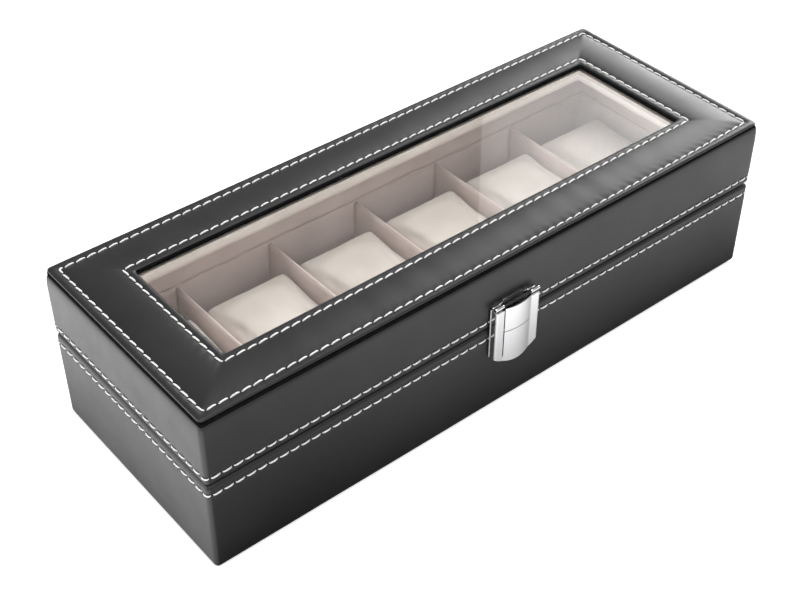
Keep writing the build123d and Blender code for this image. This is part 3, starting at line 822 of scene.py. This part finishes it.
OUTER_THREAD_Z = 78.86 * MM
INNER_THREAD_Z = 79.36 * MM
SEAMS = (
    ("base_seam_stitches", WALL_PATH, BASE_STITCH_Z, "base", "base_stitching"),
    ("skirt_seam_stitches", WALL_PATH, SKIRT_STITCH_Z, "lid", "lid_skirt_stitching"),
    ("top_outer_stitches", OUTER_PATH, OUTER_THREAD_Z, "lid", "lid_outer_stitching"),
    ("top_inner_stitches", INNER_PATH, INNER_THREAD_Z, "lid", "lid_inner_stitching"),
)
for seam in SEAMS:
    stitches = stitch_line(*seam)
    if seam[1] is OUTER_PATH:
        drift_seam(stitches)

# ---- velvet lining, dividers and window frame ----

LINING = 1.2 * MM
TOP_BOARD = 3.0 * MM
LINED_CORNER = 0.5 * MM
CAVITY_CORNER = 0.6 * MM
PARTING = (BASE_RIM + LID_RIM) / 2
PARTING_GAP = 0.04 * MM
LINING_LOOP = Loop(CAVITY, CAVITY_CORNER, 3.0 * MM, 3, end_zone=CAVITY[0])


def uneven(amount, scale, seed, last):
    """Shift that leaves rings between the first and the last a little uneven."""

    def shift(i, j, point):
        return amount * soft_noise(point, scale, seed) if 0 < i < last else 0.0

    return shift


def lining_wall(name, back, edge, body, node, rest):
    """Velvet on the inner walls, with a soft edge; rest holds the rings that close the skin."""
    turn = edge - math.copysign(0.35 * MM, edge - back)
    middle = tuple((a + b) / 2 for a, b in zip(LINED, CAVITY))
    rings = [(LINED, LINED_CORNER, back + (edge - back) * t) for t in (0.0, 0.2, 0.4, 0.6, 0.8, 0.93)]
    rings += [(LINED, LINED_CORNER, turn), (middle, LINED_CORNER, edge)]
    rings += [(CAVITY, CAVITY_CORNER, turn), (CAVITY, CAVITY_CORNER, back), *rest]
    obj = sweep(name, LINING_LOOP, rings, VELVET_BEIGE, uneven(0.12 * MM, 0.03, 2.0, 7))
    place(obj, body, "beige_velvet", node)


def make_base_lining():
    """Walls and floor of the tray in one velvet skin."""
    hole, under = (2 * MM, 2 * MM), LINING_FLOOR - 1.0 * MM
    places = ((CAVITY, under), (hole, under), (hole, LINING_FLOOR))
    floor = [(size, CAVITY_CORNER, z) for size, z in places]
    lining_wall("base_velvet", LINING_FLOOR, PARTING - PARTING_GAP, "base", "base_lining", floor)


def make_lid_lining():
    """Walls and underside of the lid in one velvet skin."""
    opening = grown(PANE, 0.2 * MM)
    board = LID_CARCASS_TOP - TOP_BOARD
    under = board - LINING
    places = ((CAVITY, board), (opening, board), (opening, under))
    ceiling = [(size, CAVITY_CORNER, z) for size, z in places]
    lining_wall("lid_velvet", under, PARTING + PARTING_GAP, "lid", "lid_lining", ceiling)


def make_retainer():
    """Velvet-covered frame under the pane, with soft lower edges."""
    deep = 4.1
    inside = grown(half("window_retainer"), -deep * MM)
    lower = ((0.0, 1.5), (0.35, 0.6), (1.2, 0.1), (2.4, 0.0), (3.4, 0.3), (4.0, 1.2))
    section = [(out, RETAINER_BOTTOM + up * MM) for out, up in lower]
    section = [(0.0, GLASS_BOTTOM), *section, (deep, GLASS_BOTTOM)]
    corner = 0.8 * MM
    rings = [(grown(inside, d * MM), corner, z) for d, z in section]
    loop = Loop(PANE, corner, 3.0 * MM, 3)
    obj = sweep("window_velvet_frame", loop, rings, VELVET_CREAM, uneven(0.10 * MM, 0.02, 6.0, 6))
    place(obj, "lid", "cream_velvet", "window_retainer")


def make_divider(number):
    """Velvet-covered board across the box: soft top edge, slightly uneven faces."""
    node = f"divider_{number}"
    low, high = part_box(node)
    thick = high.x - low.x
    centre = (high.x + low.x) / 2
    columns, rows, round_from = 40, 16, 0.955
    turns = np.linspace(0.3, math.pi - 0.3, 6)
    section = [(-1, t) for t in np.linspace(0, round_from, rows)]
    section += [(-math.cos(a), round_from + (1 - round_from) * math.sin(a)) for a in turns]
    section += [(1, t) for t in np.linspace(round_from, 0, rows)]
    verts = []
    for i in range(columns + 1):
        y = low.y + (high.y - low.y) * i / columns
        for side, t in section:
            z = low.z + (high.z - low.z) * t
            wave = 0.18 * MM * soft_noise((side * 0.2, y, z), 0.02, number)
            verts.append((centre + side * thick / 2 * 0.96 + wave, y, z))
    faces = tube_faces(0, columns + 1, len(section))
    obj = make_object(f"divider_board_{number}", verts, faces, VELVET_BEIGE)
    place(obj, "base", "beige_velvet", node)


make_base_lining()
make_lid_lining()
make_retainer()
for number in range(1, 6):
    make_divider(number)

# ---- pillows ----

PILLOW_VOXEL = 1.7 * MM
PILLOW_SWELL = 1.2 * MM
PILLOW_MARGIN = 0.12 * MM
CLOTH_FRAMES = 20


def pillow_start(name, low, high):
    """Slightly small rounded block that the cloth simulation then fills out."""
    shrink = Vector((1.3, 1.6, 1.0)) * MM
    low, high = low + shrink, high - shrink
    work = bmesh.new()
    bmesh.ops.create_cube(work, size=1.0)
    for vertex in work.verts:
        vertex.co = (low + high) / 2 + Vector([c * d for c, d in zip(vertex.co, high - low)])
    bmesh.ops.bevel(work, geom=work.edges[:], offset=1.6 * MM, segments=2, profile=0.5, affect="EDGES")
    return from_bmesh(name, work, VELVET_CREAM)


def inflate(obj, cap):
    """Cloth with a little pressure: the velvet swells between its edges, by at most cap."""
    remesh = obj.modifiers.new("remesh", "REMESH")
    remesh.mode = "VOXEL"
    remesh.voxel_size = PILLOW_VOXEL
    apply_modifiers(obj)
    rest = np.array([v.co[:] for v in obj.data.vertices])
    cloth = obj.modifiers.new("cloth", "CLOTH")
    skin = cloth.settings
    skin.quality = 6
    skin.use_pressure = True
    skin.uniform_pressure_force = 4.0
    skin.tension_stiffness = skin.compression_stiffness = 12
    skin.effector_weights.gravity = 0
    cloth.point_cache.frame_start = 1
    cloth.point_cache.frame_end = CLOTH_FRAMES
    for number in range(1, CLOTH_FRAMES + 1):
        bpy.context.scene.frame_set(number)
        bpy.context.view_layer.update()
    apply_modifiers(obj)
    bpy.context.scene.frame_set(1)
    shift = np.array([v.co[:] for v in obj.data.vertices]) - rest
    length = np.linalg.norm(shift, axis=1, keepdims=True)
    shift *= np.minimum(1.0, cap / np.maximum(length, 1e-9))
    return rest + shift


def pillow_shape():
    """One pillow's velvet, centred on its own box; the six are cut and sewn alike."""
    low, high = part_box("pillow_1")
    centre = (low + high) / 2
    obj = pillow_start("pillow_pattern", low, high)
    points = inflate(obj, PILLOW_SWELL)
    faces = [tuple(p.vertices) for p in obj.data.polygons]
    bpy.data.objects.remove(obj)
    return [Vector(p) - centre for p in points], faces, (high - low) / 2


def make_pillow(number, points, faces, reach):
    """One pillow of the pattern, with its own small dents, kept inside its CAD box."""
    node = f"pillow_{number}"
    low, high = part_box(node)
    centre = (low + high) / 2
    room = [r - PILLOW_MARGIN for r in reach]
    verts = []
    for point in points:
        p = point.copy()
        top = max(0.0, p.z / reach.z)
        p.z += 0.45 * MM * soft_noise(point, 0.022, number * 1.3) * top
        p.x += 0.25 * MM * soft_noise(point, 0.018, number * 2.1)
        verts.append([c + clamp(v, -r, r) for c, v, r in zip(centre, p, room)])
    obj = make_object(f"watch_pillow_{number}", verts, faces, VELVET_CREAM)
    smooth = obj.modifiers.new("smooth", "SUBSURF")
    smooth.levels = smooth.render_levels = 1
    apply_modifiers(obj)
    place(shade_smooth(obj), node, "cream_velvet", node)


pillow = pillow_shape()
for number in range(1, 7):
    make_pillow(number, *pillow)

# ---- latch ----

FLAP_LOW, FLAP_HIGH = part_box("latch_flap")
FLAP_HALF = FLAP_HIGH.x
FLAP_BACK = FLAP_HIGH.y
BOW = 1.0 * MM
FLAP_FRONT = FLAP_LOW.y + BOW
SHEET = 0.6 * MM
FLAP_CORNER_RADIUS = 0.9 * MM
FLAP_LIP = 0.30 * MM
SLOT = (7.10 * MM, 7.70 * MM)
SLOT_START = 2.6 * MM
SLOT_FIRST_ROW = 4
CREASE_HALF = 0.17 * MM
CREASE_DEPTH = 0.34 * MM
CREASE_Z = 44.4 * MM
FLAP_CORNER_Z = 31.4 * MM
STRIP_TOP = 56.3 * MM
FLANGE_TOP = 57.2 * MM
PANEL_TOP = 56.7 * MM
PIN_Y = sum(corner.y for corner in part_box("latch_pin")) / 2
PIN_Z = sum(heights("latch_pin")) / 2
EAR_RADIUS = 0.86 * MM
EAR_HOLE = 0.6 * (FLAP_HIGH.z - PIN_Z)
EAR_INNER = 7.5 * MM
POLISHED_EDGE = 0.08 * MM


def fitting(name, work, material, width, *where):
    """Metal part with small rounded edges that catch the light, placed on its body."""
    obj = from_bmesh(name, work, material)
    bevel = obj.modifiers.new("bevel", "BEVEL")
    bevel.limit_method = "ANGLE"
    bevel.angle_limit = math.radians(28)
    bevel.width = width
    bevel.segments = 2
    apply_modifiers(obj)
    shade_smooth(obj)
    obj.data.set_sharp_from_angle(angle=math.radians(40))
    place(obj, *where)


def flap_columns():
    """Plan of the flap from one back lip to the other: (outer point, inner point, zone)."""
    half, lip, back = FLAP_HALF, FLAP_HALF + FLAP_LIP, FLAP_BACK
    columns = [
        ((lip, back - 0.05 * MM), (lip - 0.1 * MM, back), "side"),
        ((lip, back - 0.35 * MM), (half - 0.1 * MM, back), "side"),
        ((lip - 0.1 * MM, back - 0.45 * MM), (half - 0.45 * MM, back), "side"),
        ((half, back - 0.47 * MM), (half - SHEET, back - 0.05 * MM), "side"),
        ((half, back - 0.8 * MM), (half - SHEET, back - 0.8 * MM), "side"),
    ]
    centre = (half - FLAP_CORNER_RADIUS, FLAP_FRONT + FLAP_CORNER_RADIUS)
    for k in range(9):
        angle = math.pi / 2 * k / 8
        spoke = (math.cos(angle), -math.sin(angle))
        outer = tuple(c + FLAP_CORNER_RADIUS * d for c, d in zip(centre, spoke))
        inner = tuple(c + (FLAP_CORNER_RADIUS - SHEET) * d for c, d in zip(centre, spoke))
        columns.append((outer, inner, "side"))
    front = [(x, FLAP_FRONT, "side") for x in (10.4 * MM, 9.4 * MM, 8.4 * MM, SLOT[1])]
    for x in np.linspace(SLOT[0], 0, 15):
        front.append((x, FLAP_FRONT - BOW * (1 - (x / SLOT[0]) ** 2), "panel"))
    columns += [((x, y), (x, y + SHEET), zone) for x, y, zone in front]
    mirrored = [((-o[0], o[1]), (-i[0], i[1]), zone) for o, i, zone in columns[-2::-1]]
    return columns + mirrored


def flap_rows():
    """Levels up the flap: (where it is measured from, rise or share, how far it sits back)."""
    rows = [("hem", 0.0, 0.12 * MM)]
    rows += [("hem", rise, 0.0) for rise in (0.12 * MM, 0.9 * MM, 1.8 * MM, SLOT_START)]
    rows += [("low", share, 0.0) for share in (0.25, 0.5, 0.75)]
    rows += [("crease", -CREASE_HALF, 0.0), ("crease", -CREASE_HALF * 0.8, CREASE_DEPTH)]
    rows += [("crease", CREASE_HALF * 0.8, CREASE_DEPTH), ("crease", CREASE_HALF, 0.0)]
    rows += [("high", share, 0.0) for share in (0.25, 0.5, 0.75)]
    return rows + [("top", -0.5 * MM, 0.0), ("top", -0.12 * MM, 0.0), ("top", 0.0, 0.12 * MM)]


def make_flap_sheet():
    """Pressed sheet of the flap: two strips, a slot, a bowed panel, an arched hem."""
    drop = FLAP_CORNER_Z - FLAP_LOW.z
    arc = (FLAP_HALF**2 + drop**2) / (2 * drop)
    columns, rows = flap_columns(), flap_rows()
    high = len(rows)
    verts = []
    for outer, inner, zone in columns:
        x = min(abs(outer[0]), FLAP_HALF)
        hem = FLAP_LOW.z + arc - math.sqrt(arc**2 - x**2)
        top = STRIP_TOP if zone == "side" else PANEL_TOP
        if outer[1] > FLAP_FRONT + 1.5 * MM:
            top = FLANGE_TOP
        low, below, above = hem + SLOT_START, CREASE_Z - CREASE_HALF, CREASE_Z + CREASE_HALF
        thick = Vector((inner[0] - outer[0], inner[1] - outer[1])).normalized()
        for kind, value, back in rows:
            z = {
                "hem": hem + value,
                "low": low + (below - low) * value,
                "crease": CREASE_Z + value,
                "high": above + (top - 0.5 * MM - above) * value,
                "top": top + value,
            }[kind]
            if kind == "crease" and zone == "side":
                back = 0.0
            point = Vector(outer) + thick * back
            verts.append((point.x, point.y, z))
            verts.append((*inner, z))

    def filled(c, r):
        if not (0 <= c < len(columns) - 1 and 0 <= r < high - 1):
            return False
        slot = columns[c][2] != columns[c + 1][2] and columns[c][0][0] < 0
        return not (slot and r >= SLOT_FIRST_ROW)

    faces, creased = [], []
    for c in range(len(columns) - 1):
        for r in range(high - 1):
            if not filled(c, r):
                continue
            a, b = (c * high + r) * 2, ((c + 1) * high + r) * 2
            if rows[r][2] and rows[r + 1][2] and columns[c][2] == columns[c + 1][2] == "panel":
                creased.append(len(faces))
            faces += [(a, b, b + 2, a + 2), (a + 1, a + 3, b + 3, b + 1)]
            rims = (
                ((c, r - 1), (a, a + 1, b + 1, b)),
                ((c, r + 1), (a + 2, b + 2, b + 3, a + 3)),
                ((c - 1, r), (a, a + 2, a + 3, a + 1)),
                ((c + 1, r), (b, b + 1, b + 3, b + 2)),
            )
            faces += [face for beside, face in rims if not filled(*beside)]
    obj = make_object("latch_flap_sheet", verts, faces, CHROME)
    # Faces in the crease get the dark steel: painted shade in the crease.
    obj.data.materials.append(SHADE_STEEL)
    for index in creased:
        obj.data.polygons[index].material_index = 1
    obj.data.set_sharp_from_angle(angle=math.radians(32))
    place(obj, "latch_flap", "chrome", "latch_flap")


def add_box(work, low, high):
    for vertex in bmesh.ops.create_cube(work, size=1.0)["verts"]:
        vertex.co = [(a + b) / 2 + c * (b - a) for a, b, c in zip(low, high, vertex.co)]


def add_roll(work, x_range, radius, hole, centre, steps=28):
    """Tube along X."""
    turns = [2 * math.pi * k / steps for k in range(steps)]
    rings = []
    for x in x_range:
        for r in (radius, hole):
            ring = [(x, centre[0] + r * math.cos(a), centre[1] + r * math.sin(a)) for a in turns]
            rings.append([work.verts.new(point) for point in ring])
    for a, b in ((0, 2), (3, 1), (1, 0), (2, 3)):
        for k in range(steps):
            n = (k + 1) % steps
            work.faces.new((rings[a][k], rings[a][n], rings[b][n], rings[b][k]))


def make_flap_ears():
    """Ears rolled round the pin, on short necks behind the top of the flap's strips."""
    work = bmesh.new()
    margin = 0.6 * MM
    for side in (-1, 1):
        x_range = sorted((side * EAR_INNER, side * FLAP_HALF))
        add_roll(work, x_range, EAR_RADIUS, EAR_HOLE, (PIN_Y, PIN_Z))
        low = (x_range[0] + margin, FLAP_FRONT + 0.9 * MM, STRIP_TOP - 0.8 * MM)
        high = (x_range[1] - margin, FLAP_FRONT + 1.45 * MM, PIN_Z)
        add_box(work, low, high)
    fitting("latch_flap_ears", work, CHROME, 0.1 * MM, "latch_flap", "chrome")


def make_plate():
    """Plate on the lid: a bent sheet whose middle tab reaches out round the pin."""
    low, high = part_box("latch_plate")
    half, wall = high.x, high.y
    front = wall - 0.55 * MM
    shoulder = 57.5 * MM
    tab_half, tab_top = 5.5 * MM, high.z - 0.35 * MM
    right = [(half, low.z), (half, shoulder), (tab_half, shoulder), (tab_half, tab_top)]
    outline = right + [(-x, z) for x, z in reversed(right)]
    work = bmesh.new()
    layers = [[work.verts.new((x, y, z)) for x, z in outline] for y in (front, wall)]
    for layer in layers:
        work.faces.new(layer)
    for k in range(len(outline)):
        work.faces.new((layers[0][k - 1], layers[0][k], layers[1][k], layers[1][k - 1]))
    for side in (-1, 1):
        x_range = sorted((side * (half + 0.45 * MM), side * EAR_INNER))
        add_roll(work, x_range, 0.5 * MM, 0.2 * MM, (front - 0.25 * MM, shoulder - 0.3 * MM), 16)
    fitting("latch_plate_sheet", work, CHROME, 0.12 * MM, "lid", "chrome", "latch_plate")


def make_plate_knuckle():
    """Roll in the middle of the plate that carries the pin, near-black steel as painted shade of the hollow
    between the ears.
    """
    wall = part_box("latch_plate")[1].y
    reach = 5.4 * MM
    work = bmesh.new()
    low = (-reach, PIN_Y + 0.3 * MM, PIN_Z - 0.75 * MM)
    high = (reach, wall - 0.3 * MM, PIN_Z - 0.1 * MM)
    add_box(work, low, high)
    add_roll(work, (-reach, reach), 0.8 * MM, 0.62 * MM, (PIN_Y, PIN_Z))
    fitting("latch_plate_knuckle", work, SHADE_STEEL, 0.12 * MM, "lid", "steel")


def polished(node, material, slot):
    """Copy of a CAD fitting with its edges softened."""
    work = bmesh.new()
    work.from_mesh(frame["nodes"][node].data)
    bmesh.ops.remove_doubles(work, verts=work.verts, dist=0.002 * MM)
    bmesh.ops.dissolve_limit(work, angle_limit=math.radians(1.0), verts=work.verts, edges=work.edges)
    bodies = frame["record"]["behaviour"]["bodies"]
    body = next(name for name, nodes in bodies.items() if node in nodes)
    fitting(f"{node}_finished", work, material, POLISHED_EDGE, body, slot, node)


make_flap_sheet()
make_flap_ears()
make_plate()
make_plate_knuckle()
for node in ("latch_catch", "latch_catch_rivets", "latch_plate_rivets"):
    polished(node, CHROME, "chrome")
LEAVES = [f"{side}_hinge_{part}_leaf" for side in ("left", "right") for part in ("base", "lid")]
for node in ("latch_tongue", "hinge_base_screws", "hinge_lid_screws", *LEAVES):
    polished(node, STEEL, "steel")

# ---- CAD nodes that stay ----

KEPT = {
    "base_carcass": BOARD,
    "lid_carcass": BOARD,
    "lid_top_board": GREY_BOARD,
    "bottom_cover": FELT,
    "window_glass": GLASS,
    # The pin gets the dark steel as painted shade.
    "latch_pin": SHADE_STEEL,
    "left_hinge_pin": STEEL,
    "right_hinge_pin": STEEL,
}
for node, material in KEPT.items():
    mesh = frame["nodes"][node].data
    mesh.materials.clear()
    mesh.materials.append(material)

# ---- stage, light and camera ----

FLOOR_GLOW = 0.6
FLOOR_NEAR_SHADE = 0.16
FLOOR_FAR = 0.85
FLOOR_LEFT_GLOW = 1.55
FLOOR_RIGHT_GLOW = 0.38
FLOOR_SIZE = 6.0
SKY_GLOW = 0.35
LAMP_DISTANCE = 3.0
CAMERA_AZIMUTH = math.radians(-39.363)
CAMERA_ELEVATION = math.radians(40.384)
CAMERA_PLACE = (-0.31906, -0.37269, 0.43516)
CAMERA_LENS = 64.508


def stage_material():
    """White table: paper white to the eye. What objects mirror of it is painted: greyer near the box and
    towards its left as painted shade, fainter far off, with painted glows left and right of the box that
    light it like lamps.
    """
    s = Shader("studio_white", Roughness=0.9, Specular_IOR_Level=0.0, Emission_Color=WHITE)
    axes = s.nodes.new("ShaderNodeSeparateXYZ")
    s.link(s.position, axes.inputs["Vector"])
    x, y = axes.outputs["X"], axes.outputs["Y"]
    beyond = [
        s.math("SUBTRACT", s.math("ABSOLUTE", axis, 0.0), reach) for axis, reach in zip((x, y), WALL)
    ]
    away = s.math("MAXIMUM", *beyond)
    fade = s.map(away, 0.12, 0.45, 1.0, 0.3)
    # Painted shade: the floor's colour, as mirrored, falls off near the box and towards its left.
    shaded_tone = s.math("MULTIPLY", s.map(away, 0.0, 0.075, FLOOR_NEAR_SHADE, FLOOR_FAR), fade)
    s.colour(s.math("MULTIPLY", shaded_tone, s.map(x, -WALL[0], 0.0, 0.75, 1.0)))
    # Painted light: the floor glows beside the box's left end and to its right, and lights the box like a
    # lamp.
    left = s.map(x, -WALL[0] - 0.03, -WALL[0], FLOOR_LEFT_GLOW, 0.4 * FLOOR_LEFT_GLOW)
    left = s.math("MULTIPLY", left, s.math("LESS_THAN", x, -WALL[0]))
    right = s.map(x, -0.8 * WALL[0], 0.4 * WALL[0], 0.0, FLOOR_RIGHT_GLOW)
    right = s.math("MULTIPLY", right, s.map(away, 0.0, 0.05, 0.1, 1.0))
    glow = s.math("MULTIPLY", s.math("ADD", left, right), fade)
    s.link(glow, s.principled.inputs["Emission Strength"])
    paper = {"Base_Color": (0.8, 0.8, 0.8, 1.0), "Emission_Color": WHITE, "Emission_Strength": FLOOR_GLOW}
    seen = s.add("ShaderNodeBsdfPrincipled", Roughness=0.9, Specular_IOR_Level=0.0, **paper)
    s.show_instead("Is Camera Ray", seen)
    return s.material


def make_floor():
    mesh = bpy.data.meshes.new("studio_floor")
    signs = ((-1, -1), (1, -1), (1, 1), (-1, 1))
    mesh.from_pydata([(x * FLOOR_SIZE, y * FLOOR_SIZE, 0) for x, y in signs], [], [(0, 1, 2, 3)])
    add_object("studio_floor", mesh, stage_material())


def sky():
    world = bpy.data.worlds.new("studio")
    world.use_nodes = True
    set_inputs(world.node_tree.nodes["Background"], {"Color": WHITE, "Strength": SKY_GLOW})
    bpy.context.scene.world = world


def aimed(name, data, place, back):
    """Lamp or camera at a place, with its back towards a direction."""
    obj = bpy.data.objects.new(name, data)
    obj.location = place
    obj.rotation_mode = "QUATERNION"
    obj.rotation_quaternion = back.to_track_quat("Z", "Y")
    bpy.context.scene.collection.objects.link(obj)
    return obj


def area_light(name, place, back, size, glow):
    """Rectangular lamp; glow is the radiance of its face."""
    light = bpy.data.lights.new(name, "AREA")
    light.shape = "RECTANGLE"
    light.size, light.size_y = size
    light.energy = glow * math.pi * size[0] * size[1]
    aimed(name, light, place, back)
    return light


def panel(name, azimuths, elevations, glow):
    """Upright softbox that fills a range of azimuths and elevations as the box sees it.

    Azimuth 0 is the +Y side and 90 the +X side.
    """
    azimuth = math.radians(sum(azimuths) / 2)
    way = Vector((math.sin(azimuth), math.cos(azimuth), 0))
    low, high = (LAMP_DISTANCE * math.tan(math.radians(e)) for e in elevations)
    wide = 2 * LAMP_DISTANCE * math.tan(math.radians(azimuths[1] - azimuths[0]) / 2)
    place = way * LAMP_DISTANCE + Vector((0, 0, TOP + (low + high) / 2))
    return area_light(name, place, way, (wide, high - low), glow)


def fade_across(light, first, last):
    """Lets the face of a lamp go from one strength to another along its width."""
    light.use_nodes = True
    tree = light.node_tree
    emission = next(node for node in tree.nodes if node.type == "EMISSION")
    spot = tree.nodes.new("ShaderNodeNewGeometry")
    axes = tree.nodes.new("ShaderNodeSeparateXYZ")
    ramp = tree.nodes.new("ShaderNodeMapRange")
    set_inputs(ramp, {"To_Min": first, "To_Max": last})
    tree.links.new(spot.outputs["Parametric"], axes.inputs["Vector"])
    tree.links.new(axes.outputs["X"], ramp.inputs["Value"])
    tree.links.new(ramp.outputs["Result"], emission.inputs["Strength"])


def make_lights():
    veil = panel("right_veil", (43.7, 60), (4, 56), 4.2)
    fade_across(veil, 1.0, 0.17)
    panel("right_bright", (56, 100), (6, 40), 7.0)
    panel("left_bright", (-100, -46), (2, 24), 3.6)
    area_light("overhead", (-0.3, -0.6, 3.0), Vector((-0.1, -0.2, 1.0)), (2.4, 2.0), 2.4)
    panel("front_fill", (160, 240), (25, 50), 1.5)


def make_camera():
    data = bpy.data.cameras.new("camera")
    data.lens = CAMERA_LENS
    data.sensor_width = 36.0
    data.clip_start = 0.01
    data.clip_end = 50.0
    flat = math.cos(CAMERA_ELEVATION)
    x, y = math.sin(CAMERA_AZIMUTH) * flat, -math.cos(CAMERA_AZIMUTH) * flat
    back = Vector((x, y, math.sin(CAMERA_ELEVATION)))
    bpy.context.scene.camera = aimed("camera", data, CAMERA_PLACE, back)


make_floor()
sky()
make_lights()
make_camera()
bpy.context.scene.view_settings.view_transform = "Standard"
